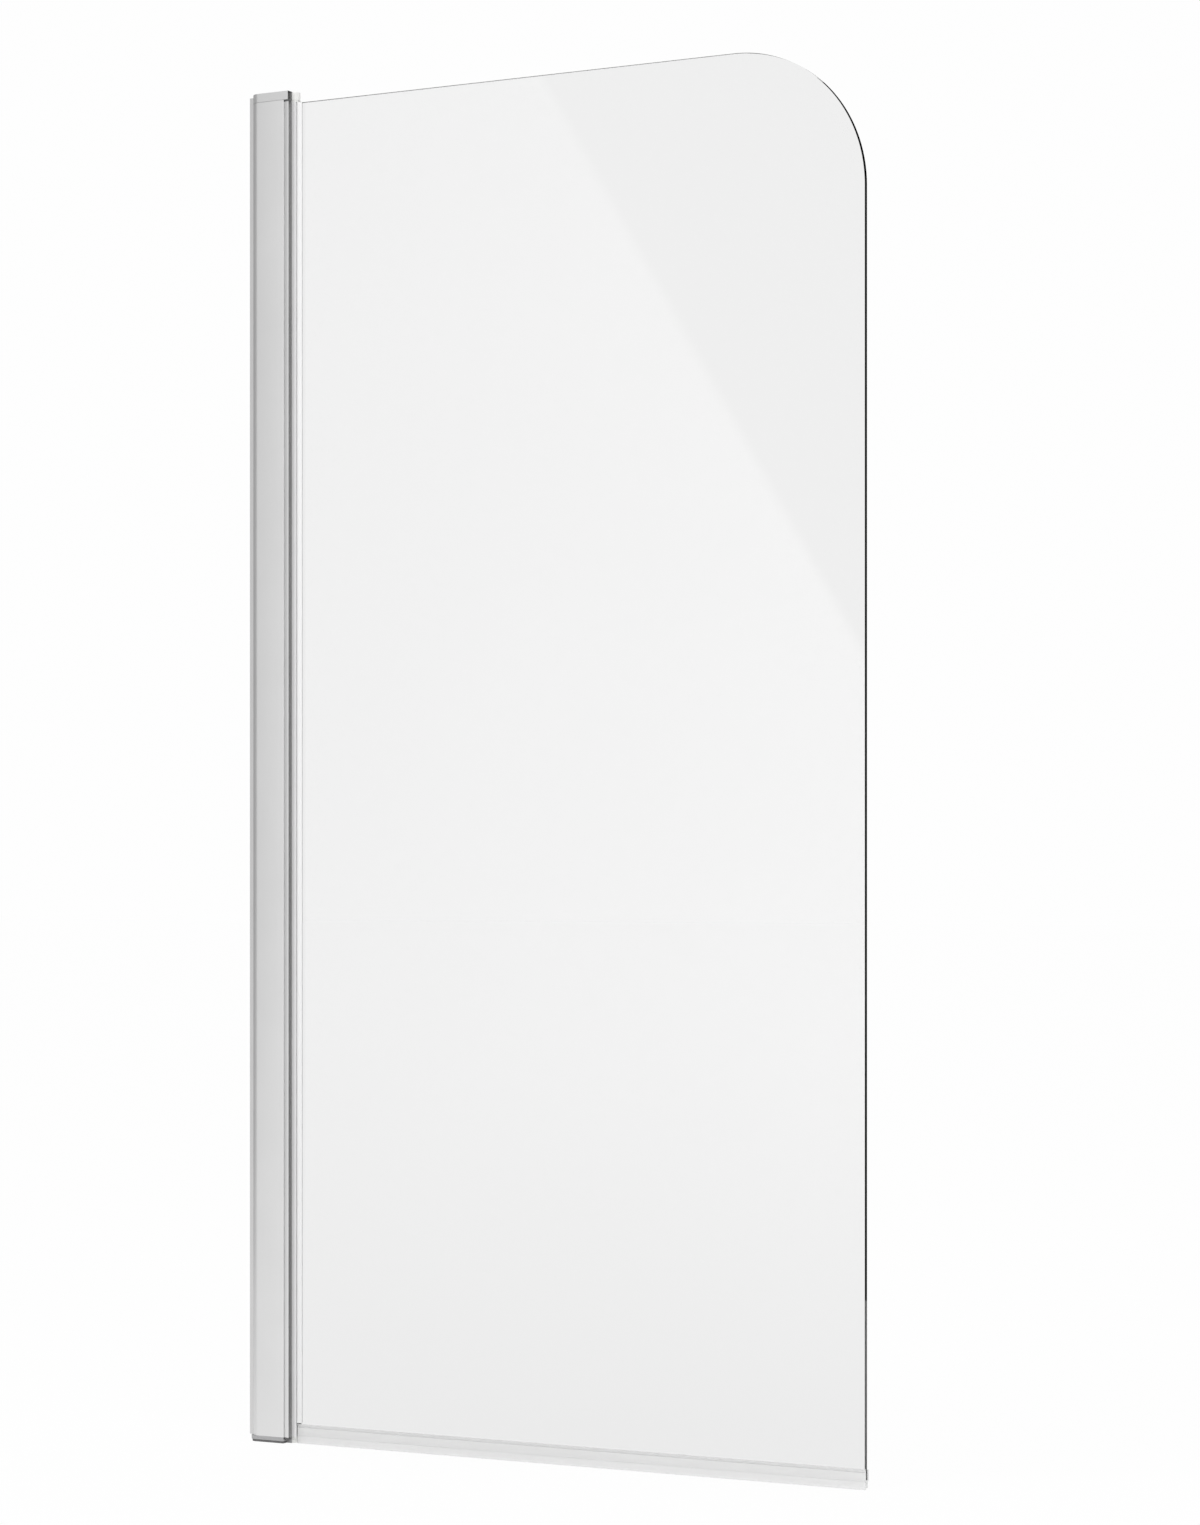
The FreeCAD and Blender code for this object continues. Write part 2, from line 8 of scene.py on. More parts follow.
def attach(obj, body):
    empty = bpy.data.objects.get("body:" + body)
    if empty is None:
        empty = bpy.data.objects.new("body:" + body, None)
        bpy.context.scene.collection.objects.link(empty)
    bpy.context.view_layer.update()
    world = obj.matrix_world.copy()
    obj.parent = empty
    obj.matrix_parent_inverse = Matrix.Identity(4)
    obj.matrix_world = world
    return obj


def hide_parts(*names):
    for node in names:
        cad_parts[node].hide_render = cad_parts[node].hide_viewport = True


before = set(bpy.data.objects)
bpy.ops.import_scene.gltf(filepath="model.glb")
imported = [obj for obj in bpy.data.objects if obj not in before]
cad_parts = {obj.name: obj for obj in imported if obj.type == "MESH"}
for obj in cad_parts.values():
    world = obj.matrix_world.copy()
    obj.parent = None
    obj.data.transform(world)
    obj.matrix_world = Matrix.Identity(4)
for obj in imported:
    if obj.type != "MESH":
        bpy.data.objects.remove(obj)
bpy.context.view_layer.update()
print("frame loaded:", len(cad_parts), "nodes")

# Lengths below are in millimetres and become metres when a mesh is made.
mm = 0.001

# The photograph's view of the screen: focal length and horizon in its pixels, the eye in metres
photo = dict(azimuth=28.255, focal=3831.9, height=1525, horizon=876.3, eye=(2.2113, -3.3521, -0.1128),
             sensor=36.0)

# Heights that several pieces share
levels = dict(foot=-700.0, postBottom=-693.6, glassBottom=-691.0, sealGrip=-683.6,
              sealTop=-679.5, railTop=689.0, postTop=691.0, top=700.0)

# The upright axis that the glass turns about, and where the post ends beside it
pivot = dict(x=50.0, seat=13.9, drum=13.5, postEnd=45.3)


def srgb(hexCode):
    # sRGB hex to the linear values that the shaders take
    parts = [int(hexCode[i:i + 2], 16) / 255 for i in (1, 3, 5)]
    return [c / 12.92 if c <= 0.04045 else ((c + 0.055) / 1.055) ** 2.4 for c in parts] + [1.0]


def shadesOf(tone, up, down):
    # the lighter and the darker neighbour of a colour, for the small unevenness of a real surface
    return [[min(1, c * factor) for c in srgb(tone)[:3]] + [1.0] for factor in (up, down)]


def addNode(tree, kind, settings=None, links=None):
    # one node with its settings; links is {input: value, node or (node, output)}
    node = tree.nodes.new(kind)
    for key, value in (settings or {}).items():
        setattr(node, key, value)
    for key, value in (links or {}).items():
        source, output = value if isinstance(value, tuple) and len(value) == 2 else (value, 0)
        if hasattr(source, "outputs"):
            tree.links.new(source.outputs[output], node.inputs[key])
        else:
            node.inputs[key].default_value = value
    return node


# The Mix node's sockets by number, because their names repeat: for numbers, then for colours
mixFactor, numberA, numberB = 0, 2, 3
colourA, colourB, colourOut = 6, 7, 2


def newMaterial(name):
    mat = bpy.data.materials.new(name)
    mat.use_nodes = True
    mat.node_tree.nodes.clear()
    return mat, mat.node_tree


def finishMaterial(tree, shader):
    out = addNode(tree, "ShaderNodeOutputMaterial")
    tree.links.new(shader.outputs[0], out.inputs["Surface"])


# Satin aluminium: extruded, etched and anodised, so it is an even pale grey with
# faint die lines running along its length
def satinAluminium(name, tone, rough, metal=1.0):
    mat, tree = newMaterial(name)
    coords = addNode(tree, "ShaderNodeTexCoord")
    # die lines are about 0.4 mm apart across the bar and hundreds of times longer along it
    lines = addNode(tree, "ShaderNodeMapping", links={"Vector": (coords, "Object"), "Scale": (2500, 2500, 3)})
    grain = addNode(tree, "ShaderNodeTexNoise", links={"Vector": lines, "Scale": 1.0, "Detail": 3.0})
    # etching leaves a cloudiness some 60 mm across
    cloud = addNode(tree, "ShaderNodeTexNoise", links={"Vector": (coords, "Object"), "Scale": 16.0, "Detail": 2.0})
    spread = addNode(tree, "ShaderNodeMapRange",
                     links={"Value": (grain, "Fac"), "To Min": rough - 0.05, "To Max": rough + 0.06})
    light, dark = shadesOf(tone, 1.03, 0.96)
    shade = addNode(tree, "ShaderNodeMix", {"data_type": "RGBA"},
                    {mixFactor: (cloud, "Fac"), colourA: dark, colourB: light})
    bump = addNode(tree, "ShaderNodeBump", links={"Height": (grain, "Fac"), "Strength": 0.06, "Distance": 0.0002})
    finishMaterial(tree, addNode(tree, "ShaderNodeBsdfPrincipled", links={
        "Base Color": (shade, colourOut), "Metallic": metal, "Roughness": spread, "Normal": bump}))
    return mat


# Zinc die casting under satin silver paint: smoother than the bars, with a fine flake
def silverPaint(name, tone, rough, metal):
    mat, tree = newMaterial(name)
    coords = addNode(tree, "ShaderNodeTexCoord")
    # paint flake of about 0.3 mm, coarser than the real one so that it shows
    flake = addNode(tree, "ShaderNodeTexNoise", links={"Vector": (coords, "Object"), "Scale": 3300.0, "Detail": 2.0})
    # orange peel 2 mm across
    peel = addNode(tree, "ShaderNodeTexNoise", links={"Vector": (coords, "Object"), "Scale": 500.0, "Detail": 1.0})
    light, dark = shadesOf(tone, 1.05, 0.95)
    shade = addNode(tree, "ShaderNodeMix", {"data_type": "RGBA"},
                    {mixFactor: (flake, "Fac"), colourA: dark, colourB: light})
    bump = addNode(tree, "ShaderNodeBump", links={"Height": (peel, "Fac"), "Strength": 0.08, "Distance": 0.0002})
    finishMaterial(tree, addNode(tree, "ShaderNodeBsdfPrincipled", links={
        "Base Color": (shade, colourOut), "Metallic": metal, "Roughness": rough, "Normal": bump}))
    return mat


# Moulded plastic or rubber: matt, with the fine spark texture of its mould
def mouldedPlastic(name, tone, rough, grainSize, depth, shine=0.5):
    mat, tree = newMaterial(name)
    coords = addNode(tree, "ShaderNodeTexCoord")
    spark = addNode(tree, "ShaderNodeTexNoise",
                    links={"Vector": (coords, "Object"), "Scale": 1000.0 / grainSize, "Detail": 3.0})
    patch = addNode(tree, "ShaderNodeTexNoise", links={"Vector": (coords, "Object"), "Scale": 60.0, "Detail": 2.0})
    light, dark = shadesOf(tone, 1.08, 0.93)
    shade = addNode(tree, "ShaderNodeMix", {"data_type": "RGBA"},
                    {mixFactor: (patch, "Fac"), colourA: dark, colourB: light})
    gloss = addNode(tree, "ShaderNodeMapRange",
                    links={"Value": (spark, "Fac"), "To Min": rough - 0.06, "To Max": rough + 0.06})
    bump = addNode(tree, "ShaderNodeBump", links={"Height": (spark, "Fac"), "Strength": depth, "Distance": 0.0002})
    finishMaterial(tree, addNode(tree, "ShaderNodeBsdfPrincipled", links={
        "Base Color": (shade, colourOut), "Roughness": gloss, "Normal": bump, "IOR": 1.5,
        "Specular IOR Level": shine}))
    return mat


# Float glass, toughened, edges ground and polished: clear with a trace of green
def floatGlass(name, tone):
    mat, tree = newMaterial(name)
    coords = addNode(tree, "ShaderNodeTexCoord")
    # roller wave of the toughening oven, about 180 mm from crest to crest
    wave = addNode(tree, "ShaderNodeTexNoise", links={"Vector": (coords, "Object"), "Scale": 5.5, "Detail": 0.0})
    light, dark = shadesOf(tone, 1.004, 0.996)
    shade = addNode(tree, "ShaderNodeMix", {"data_type": "RGBA"},
                    {mixFactor: (wave, "Fac"), colourA: dark, colourB: light})
    finishMaterial(tree, addNode(tree, "ShaderNodeBsdfPrincipled", links={
        "Base Color": (shade, colourOut), "Roughness": 0.0, "IOR": 1.5, "Transmission Weight": 1.0}))
    return mat


# Plasticised vinyl, extruded clear: faint flow lines along it, a little cloudy
def clearVinyl(name, tone, rough, clear, cover=1.0):
    mat, tree = newMaterial(name)
    coords = addNode(tree, "ShaderNodeTexCoord")
    # flow lines 0.5 mm apart across the strip
    lines = addNode(tree, "ShaderNodeMapping", links={"Vector": (coords, "Object"), "Scale": (4, 2000, 2000)})
    flow = addNode(tree, "ShaderNodeTexNoise", links={"Vector": lines, "Scale": 1.0, "Detail": 2.0})
    light, dark = shadesOf(tone, 1.02, 0.98)
    shade = addNode(tree, "ShaderNodeMix", {"data_type": "RGBA"},
                    {mixFactor: (flow, "Fac"), colourA: dark, colourB: light})
    bump = addNode(tree, "ShaderNodeBump", links={"Height": (flow, "Fac"), "Strength": 0.05, "Distance": 0.0002})
    finishMaterial(tree, addNode(tree, "ShaderNodeBsdfPrincipled", links={
        "Base Color": (shade, colourOut), "Roughness": rough, "IOR": 1.53, "Transmission Weight": clear,
        "Alpha": cover, "Normal": bump}))
    return mat


# Turned stainless steel: bright, with fine rings round each head
def turnedSteel(name, tone, rough):
    mat, tree = newMaterial(name)
    coords = addNode(tree, "ShaderNodeTexCoord")
    # tool marks about 0.3 mm apart
    marks = addNode(tree, "ShaderNodeTexNoise", links={"Vector": (coords, "Object"), "Scale": 3300.0, "Detail": 2.0})
    spread = addNode(tree, "ShaderNodeMapRange",
                     links={"Value": (marks, "Fac"), "To Min": rough - 0.06, "To Max": rough + 0.08})
    finishMaterial(tree, addNode(tree, "ShaderNodeBsdfPrincipled", links={
        "Base Color": srgb(tone), "Metallic": 1.0, "Roughness": spread}))
    return mat


finishes = dict(
    # the post's bars: an even pale grey that softens what it mirrors
    anodised=satinAluminium("satinAnodisedAluminium", "#e7e7e7", 0.46),
    # the wall channel: the same satin with painted shade, a tone darker for the shade beside the wall
    channelPaintedShade=satinAluminium("anodisedWallChannelPaintedShade", "#dadada", 0.46),
    # painted light on the jaws and the cover's edge: paler and duller than the bars, so they read lit where they
    # stand in shade
    paintedLightAnodised=satinAluminium("anodisedAluminiumPaintedLight", "#f0f0f0", 0.5, 0.55),
    # painted shade: a dark matt tone on faces turned from the light, a dark line beside the jaws
    paintedShadeAnodised=satinAluminium("aluminiumPaintedShade", "#9a9a9a", 0.5),
    # painted castings: smoother than the bars above, flat grey at the foot
    castSilver=silverPaint("silverPaintedZinc", "#dcdcdc", 0.36, 0.9),
    castGrey=silverPaint("greyPaintedZinc", "#aaaaab", 0.42, 0.25),
    # moulded plugs, bushes, strips and pad: no mirror in them, only a soft sheen
    darkAbs=mouldedPlastic("darkGreyAbs", "#5a5a5b", 0.45, 0.5, 0.15),
    acetal=mouldedPlastic("whiteAcetal", "#e8e8e6", 0.6, 0.4, 0.05, 0.1),
    rubber=mouldedPlastic("blackRubber", "#2b2b2b", 0.6, 0.5, 0.2),
    padRubber=mouldedPlastic("greyRubber", "#6e6e6e", 0.6, 0.5, 0.2, 0.3),
    # the sheet, and the bevels of its free side with a painted dark reflection: a thin dark line
    glass=floatGlass("clearFloatGlass", "#f0f0f0"),
    glassEdgePaintedDark=mouldedPlastic("glassEdgePaintedDark", "#3a3d3c", 0.5, 0.3, 0.1),
    # vinyl held between the jaws is clear; soft lips and fins scatter light and look milky
    vinyl=clearVinyl("clearVinyl", "#f6f7f7", 0.12, 1.0),
    softVinyl=clearVinyl("softClearVinyl", "#f2f2f2", 0.35, 0.0, 0.5),
    sealVinyl=clearVinyl("clearSealVinyl", "#f2f2f2", 0.3, 0.0, 0.7),
    lipVinyl=clearVinyl("milkyVinyl", "#f8f8f8", 0.4, 0.0, 0.85),
    # screws and nut plates: small bright glints
    steel=turnedSteel("turnedStainlessSteel", "#c8c8c6", 0.25),
)
print("finishes made:", len(finishes))


def arc(cx, cy, radius, start, end, steps):
    # points on an arc, angles in degrees
    out = []
    for i in range(steps + 1):
        a = math.radians(start + (end - start) * i / steps)
        out.append((cx + radius * math.cos(a), cy + radius * math.sin(a)))
    return out


def mirrored(points):
    # the same run on the other side of the glass, in reverse order
    return [(x, -y) for x, y in reversed(points)]


def eased(points, radius, steps=3):
    # rounds each sharp corner of a closed outline by a small radius
    out = []
    count = len(points)
    for i, p in enumerate(points):
        a, b, c = Vector(points[i - 1]), Vector(p), Vector(points[(i + 1) % count])
        u, w = a - b, c - b
        if u.length < 1e-6 or w.length < 1e-6 or u.angle(w) > math.radians(150):
            out.append(tuple(b))
            continue
        reach = min(radius, u.length * 0.45, w.length * 0.45)
        start, end = b + u.normalized() * reach, b + w.normalized() * reach
        for k in range(steps + 1):
            t = k / steps
            out.append(tuple(start * (1 - t) ** 2 + b * 2 * t * (1 - t) + end * t ** 2))
    return out


# Geometry Nodes tree that pulls a flat section out into a bar, as a press does
def barTree():
    tree = bpy.data.node_groups.new("pulledBar", "GeometryNodeTree")
    face = tree.interface
    face.new_socket(name="Outline", in_out="INPUT", socket_type="NodeSocketGeometry")
    face.new_socket(name="Length", in_out="INPUT", socket_type="NodeSocketFloat")
    face.new_socket(name="Crease Angle", in_out="INPUT", socket_type="NodeSocketFloat")
    face.new_socket(name="Finish", in_out="INPUT", socket_type="NodeSocketMaterial")
    face.new_socket(name="Bar", in_out="OUTPUT", socket_type="NodeSocketGeometry")
    given = addNode(tree, "NodeGroupInput")
    filled = addNode(tree, "GeometryNodeFillCurve", {"mode": "TRIANGLES"}, {"Curve": (given, "Outline")})
    up = addNode(tree, "ShaderNodeCombineXYZ", links={"Z": (given, "Length")})
    pulled = addNode(tree, "GeometryNodeExtrudeMesh", {"mode": "FACES"},
                     {"Mesh": filled, "Offset": up, "Offset Scale": 1.0, "Individual": False})
    under = addNode(tree, "GeometryNodeFlipFaces", links={"Mesh": filled})
    both = addNode(tree, "GeometryNodeJoinGeometry")
    tree.links.new(under.outputs[0], both.inputs[0])
    tree.links.new(pulled.outputs["Mesh"], both.inputs[0])
    welded = addNode(tree, "GeometryNodeMergeByDistance", links={"Geometry": both, "Distance": 1e-6})
    angle = addNode(tree, "GeometryNodeInputMeshEdgeAngle")
    soft = addNode(tree, "FunctionNodeCompare", {"data_type": "FLOAT", "operation": "LESS_THAN"},
                   {"A": (angle, "Unsigned Angle"), "B": (given, "Crease Angle")})
    faces = addNode(tree, "GeometryNodeSetShadeSmooth", {"domain": "FACE"},
                    {"Geometry": welded, "Shade Smooth": True})
    edges = addNode(tree, "GeometryNodeSetShadeSmooth", {"domain": "EDGE"},
                    {"Geometry": faces, "Shade Smooth": soft})
    real = addNode(tree, "GeometryNodeRealizeInstances", links={"Geometry": edges})
    coated = addNode(tree, "GeometryNodeSetMaterial", links={"Geometry": real, "Material": (given, "Finish")})
    addNode(tree, "NodeGroupOutput", links={"Bar": coated})
    return tree


pulledBar = barTree()


def setInputs(modifier, values):
    # geometry nodes inputs are set by identifier before the first evaluation
    for item in modifier.node_group.interface.items_tree:
        if item.item_type == "SOCKET" and item.in_out == "INPUT" and item.name in values:
            modifier[item.identifier] = values[item.name]


def bakedMesh(holder, name):
    bpy.context.view_layer.update()
    evaluated = holder.evaluated_get(bpy.context.evaluated_depsgraph_get())
    mesh = bpy.data.meshes.new_from_object(evaluated)
    mesh.name = name
    bpy.data.objects.remove(holder)
    if mesh.materials[0] is None:
        mesh.materials.pop(index=0)
    return mesh


def coat(mesh, finish, chosen):
    # part of a piece in another finish, chosen by where each face is and the way it looks
    mesh.materials.append(finish)
    for p in mesh.polygons:
        if chosen(p.center / mm, p.normal):
            p.material_index = len(mesh.materials) - 1


creaseAngle = math.radians(32)  # arcs look round and the bars' corners stay sharp


# One bar from its outline (and holes), between two levels, standing up or lying along X
def bar(name, loops, low, high, finish, lying=False):
    curve = bpy.data.curves.new(name + "Outline", "CURVE")
    curve.dimensions = "2D"
    curve.fill_mode = "NONE"
    for loop in loops:
        spline = curve.splines.new("POLY")
        spline.points.add(len(loop) - 1)
        for point, (x, y) in zip(spline.points, loop):
            point.co = (x * mm, y * mm, 0, 1)
        spline.use_cyclic_u = True
    holder = bpy.data.objects.new(name + "Outline", curve)
    bpy.context.scene.collection.objects.link(holder)
    modifier = holder.modifiers.new("pull", "NODES")
    modifier.node_group = pulledBar
    setInputs(modifier, {"Length": (high - low) * mm, "Crease Angle": creaseAngle, "Finish": finish})
    mesh = bakedMesh(holder, name)
    mesh.transform(Matrix.Translation((0, 0, low * mm)))
    if lying:
        mesh.transform(Matrix(((0, 0, 1, 0), (1, 0, 0, 0), (0, 1, 0, 0), (0, 0, 0, 1))))
    return mesh


def joinMeshes(name, meshes):
    # several bars of one piece become one mesh, and each keeps its finish
    whole = bmesh.new()
    slots = []
    for mesh in meshes:
        part = bmesh.new()
        part.from_mesh(mesh)
        places = []
        for mat in mesh.materials:
            if mat not in slots:
                slots.append(mat)
            places.append(slots.index(mat))
        for f in part.faces:
            f.material_index = places[f.material_index] if places else 0
        temp = bpy.data.meshes.new("part")
        part.to_mesh(temp)
        part.free()
        whole.from_mesh(temp)
        bpy.data.meshes.remove(temp)
    mesh = bpy.data.meshes.new(name)
    whole.to_mesh(mesh)
    whole.free()
    for mat in slots:
        mesh.materials.append(mat)
    return mesh


def placePiece(name, mesh, body, node):
    obj = bpy.data.objects.new(name, mesh)
    bpy.context.scene.collection.objects.link(obj)
    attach(obj, body)
    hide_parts(node)


# Cover strip: the visible front of the post, clipped on over the clamp screws. The guide is the level
# where it meets the casing, the seat the radius of its edge beside the rail, the joint a shadow line
coverSizes = dict(wallGap=3.6, half=14.0, round=10.0, wall=1.3, guide=9.9, edge=0.2, tip=0.3, seat=13.72, joint=0.25,
                  legs=((31.5, 30.3), (18.6, 17.6)), legFoot=-10.3)


def makeCover(s):
    cx, cy = s["wallGap"] + s["round"], -(s["half"] - s["round"])
    inner = s["round"] - s["wall"]
    tipOut = math.degrees(math.asin((s["guide"] + cy) / s["round"]))
    tipIn = math.degrees(math.asin((s["guide"] + cy) / inner))
    outside = arc(cx, cy, s["round"], 180 + tipOut, 270, 18)
    low = -(s["half"] - s["wall"])
    end = pivot["postEnd"]
    tip = arc(end - s["tip"], -s["half"] + s["tip"], s["tip"], 270, 360, 6)
    # the inner face follows the seat from the tip until it meets the flat
    first = math.degrees(math.acos((pivot["x"] - end) / s["seat"]))
    last = math.degrees(math.asin(-low / s["seat"]))
    tip += arc(pivot["x"], 0, s["seat"], 180 + first, 180 + last, 4)
    legs = []
    for right, left in s["legs"]:
        legs += [(right, low), (right, s["legFoot"]), (left, s["legFoot"]), (left, low)]
    inside = arc(cx, cy, inner, 270, 180 + tipIn, 14)
    loop = eased(outside + tip + legs + inside, s["edge"])
    mesh = bar("coverStrip", [loop], levels["postBottom"], levels["postTop"] - s["joint"], finishes["anodised"])
    # the cover's edge beside the rail gets painted light, a paler finish than the bar
    coat(mesh, finishes["paintedLightAnodised"], lambda c, n: c.x > end - s["tip"] and abs(n.z) < 0.5)
    return mesh


# Casing: the bar behind the cover, open towards the wall and hollowed for the turning rail. It has
# bosses for the cap screws, and three chambers behind its wall side
casingSizes = dict(wallGap=3.6, half=14.0, round=10.0, wall=1.6, guideIn=8.3, guideOut=9.9, cross=31.5, web=1.7,
                   bossX=35.6, bossY=10.0, bossRadius=2.7, bore=1.45, cover=12.7, ledge=0.5, tip=0.7, edge=0.25)


def makeCasing(s):
    cx, cy = s["wallGap"] + s["round"], s["half"] - s["round"]
    tip = math.degrees(math.asin((s["guideIn"] - cy) / s["round"]))
    tipFront = math.degrees(math.asin((s["guideOut"] - cy) / s["round"]))
    seat, end = pivot["seat"], pivot["postEnd"]
    bossLow = s["bossY"] - s["bossRadius"]
    backEnd = math.degrees(math.acos((pivot["x"] - end) / seat))
    seatLow = math.degrees(math.asin(bossLow / seat))
    frontEnd = math.degrees(math.asin((s["cover"] - s["ledge"]) / seat))
    web = s["cross"] + s["web"]
    back = [(s["cross"], -s["guideIn"]), (s["cross"], s["guideIn"])]
    back += arc(cx, cy, s["round"], 180 - tip, 90, 20)
    back += arc(end - s["tip"], s["half"] - s["tip"], s["tip"], 90, 0, 6)
    back += arc(pivot["x"], 0, seat, 180 - backEnd, 180 - seatLow, 12)
    back += [(web, bossLow), (web, -bossLow)]
    front = arc(pivot["x"], 0, seat, 180 + seatLow, 180 + frontEnd, 12)
    front += [(front[-1][0], -s["cover"]), (s["bossX"], -s["cover"])]
    front += arc(s["bossX"], -s["bossY"], s["bossRadius"], 262, 184, 6)
    front += [(s["cross"], -s["guideOut"])]
    front += arc(cx, -cy, s["round"], 180 + tipFront, 180 + tip, 4)
    holes = [arc(s["bossX"], y, s["bore"], 0, 345, 23) for y in (-s["bossY"], s["bossY"])]
    # chambers behind the wall side, between two ribs
    roof, ledge = s["half"] - s["wall"], s["guideOut"]
    rib = (s["cross"] - cx) / 3
    inner = s["round"] - s["wall"]
    low = math.degrees(math.asin((ledge - cy) / inner))
    holes.append([(cx + rib - s["wall"] / 2, ledge), (cx + rib - s["wall"] / 2, roof)]
                 + arc(cx, cy, inner, 90, 180 - low, 12))
    for left, right in ((cx + rib, cx + 2 * rib), (cx + 2 * rib, s["cross"] + s["wall"] / 2)):
        x0, x1 = left + s["wall"] / 2, right - s["wall"] / 2
        holes.append([(x0, ledge), (x1, ledge), (x1, roof), (x0, roof)])
    loops = [eased(back + front, s["edge"])] + holes
    return bar("postCasing", loops, levels["postBottom"], levels["postTop"], finishes["anodised"])


# Pivot rail: half a drum towards the post, two jaws towards the glass. The barb is a groove in each
# jaw (start, end, depth from the middle) that holds the gasket
railSizes = dict(face=51.2, jawHalf=6.9, mouth=56.0, jawRound=1.4, slotHalf=3.6, slotEnd=44.6, edge=0.12,
                 barb=(51.8, 53.6, 4.25))


def makeRail(s):
    far = s["mouth"] - s["jawRound"]
    reach = math.degrees(math.asin((s["face"] - pivot["x"]) / pivot["drum"]))
    drum = arc(pivot["x"], 0, pivot["drum"], 90 - reach, 270 + reach, 72)
    b0, b1, deep = s["barb"]
    side = [(s["face"], -s["jawHalf"])] + arc(far, -s["jawHalf"] + s["jawRound"], s["jawRound"], 270, 360, 8)
    side += [(s["mouth"], -s["slotHalf"]), (b1, -s["slotHalf"]), (b1, -deep), (b0, -deep), (b0, -s["slotHalf"])]
    side += [(s["slotEnd"], -s["slotHalf"])]
    loop = eased(drum + side + mirrored(side), s["edge"], 4)
    mesh = bar("pivotRail", [loop], levels["postBottom"], levels["railTop"], finishes["anodised"])
    # painted light on the jaws, paler than the drum, and painted shade on its flat face, a darker matt tone
    coat(mesh, finishes["paintedLightAnodised"], lambda c, n: abs(n.y) > 0.9 and abs(abs(c.y) - s["jawHalf"]) < 0.1)
    coat(mesh, finishes["paintedShadeAnodised"], lambda c, n: n.x > 0.9 and abs(c.x - s["face"]) < 0.05)
    return mesh


# Glazing gasket: clear vinyl U between glass and jaws, with a lip that lies on the glass. The lips
# are given by side (-1 front, 1 rear) and reach, and thin out from the root to the tip
gasketSizes = dict(slotHalf=3.55, glassHalf=2.52, base=44.65, glassEdge=45.6, mouth=56.02, lips={-1: 4.9, 1: 3.2},
                   lipHeight=2.1, lipRoot=0.7, lipBend=0.6, bendHeight=0.45, lipTip=0.3, edge=0.25, sealGap=0.3)


def makeGasket(s):
    u = [(s["base"], -s["slotHalf"]), (s["mouth"], -s["slotHalf"]), (s["mouth"], -s["glassHalf"]),
         (s["glassEdge"], -s["glassHalf"])]
    held = bar("gasketHeld", [u + mirrored(u)], levels["glassBottom"], levels["railTop"], finishes["vinyl"])
    lips = []
    for side, reach in s["lips"].items():
        out = s["mouth"] + reach
        crest = s["glassHalf"] + s["lipHeight"]
        lip = [(s["mouth"], s["glassHalf"]), (out, s["glassHalf"]), (out, s["glassHalf"] + s["lipTip"]),
               (s["mouth"] + reach * s["lipBend"], s["glassHalf"] + s["lipHeight"] * s["bendHeight"]),
               (s["mouth"] + s["lipRoot"], crest), (s["mouth"], crest)]
        lip = eased([(x, y * side) for x, y in lip], s["edge"])
        foot = levels["sealTop"] + s["sealGap"]
        lips.append(bar("gasketLip", [lip], foot, levels["railTop"], finishes["lipVinyl"]))
    return joinMeshes("glazingGasket", [held] + lips)


# Glass: one toughened sheet, upper free corner rounded, edges ground and polished
glassSizes = dict(left=45.6, right=699.0, half=2.5, corner=140.0, arris=0.3)


def makeGlass(s):
    low, high = levels["glassBottom"], levels["railTop"]
    outline = [(s["left"], low), (s["right"], low)]
    outline += arc(s["right"] - s["corner"], high - s["corner"], s["corner"], 0, 90, 72)
    outline += [(s["left"], high)]
    sheet = bmesh.new()
    front = sheet.faces.new([sheet.verts.new((x * mm, -s["half"] * mm, z * mm)) for x, z in outline])
    grown = bmesh.ops.extrude_face_region(sheet, geom=[front])
    moved = [g for g in grown["geom"] if isinstance(g, bmesh.types.BMVert)]
    bmesh.ops.translate(sheet, verts=moved, vec=(0, 2 * s["half"] * mm, 0))
    bmesh.ops.recalc_face_normals(sheet, faces=sheet.faces)
    rims = [e for e in sheet.edges if abs(e.verts[0].co.y - e.verts[1].co.y) < 1e-7]
    bmesh.ops.bevel(sheet, geom=rims, offset=s["arris"] * mm, segments=1, affect="EDGES", profile=0.5)
    for f in sheet.faces:
        f.smooth = abs(f.normal.y) < 0.99
    for e in sheet.edges:
        e.smooth = e.calc_face_angle(0) < math.radians(20)
    mesh = bpy.data.meshes.new("glassPanel")
    sheet.to_mesh(mesh)
    sheet.free()
    mesh.materials.append(finishes["glass"])
    # the free side's bevels get a dark tone, a painted reflection that draws the glass's dark edge line
    coat(mesh, finishes["glassEdgePaintedDark"], lambda c, n: n.x > 0.45 and abs(n.y) > 0.3)
    return mesh


# Bottom seal: clear channel on the glass, soft lips above and two drip fins below. The lips are given
# by side and by how far they end past the shared seal level
sealSizes = dict(start=56.4, end=700.0, inner=2.52, leg=1.4, web=1.2, flare=0.5, finWall=1.0, finLean=0.4,
                 bead=0.9, backStart=0.4, backTip=0.6, backLift=1.2, lips={-1: -0.5, 1: -1.6}, lipSpread=0.4,
                 edge=0.25, lipEdge=0.3, finEdge=0.2)


